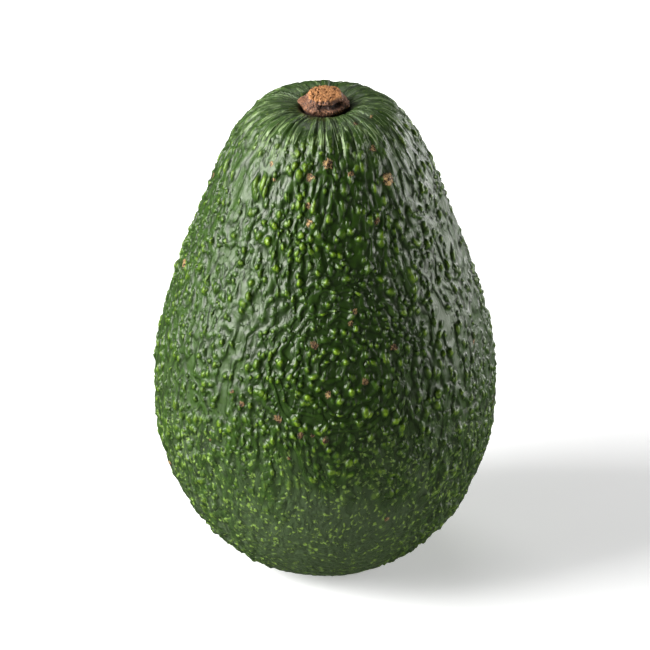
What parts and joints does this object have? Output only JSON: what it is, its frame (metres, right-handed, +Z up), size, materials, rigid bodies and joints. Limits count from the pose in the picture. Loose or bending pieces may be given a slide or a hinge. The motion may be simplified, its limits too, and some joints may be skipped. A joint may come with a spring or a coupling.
{
  "type": "avocado",
  "caption": "Whole upright avocado with pebbled green skin, a broad rounded belly, a narrower crown and a cut woody stub, resting on a small flat spot.",
  "frame": {"origin": "centre of the flat spot that the fruit stands on", "axes": "+Z up along the fruit's length, from the flat spot to the stub; -Y towards the pictured side; +X to that side's right"},
  "size_m": [0.0681, 0.0678, 0.1012],
  "materials": {
    "skin": "satin",
    "stem_wood": "matte"
  },
  "bodies": {
    "root": {"fruit": "skin", "stem_button": "stem_wood"}
  },
  "joints": []
}
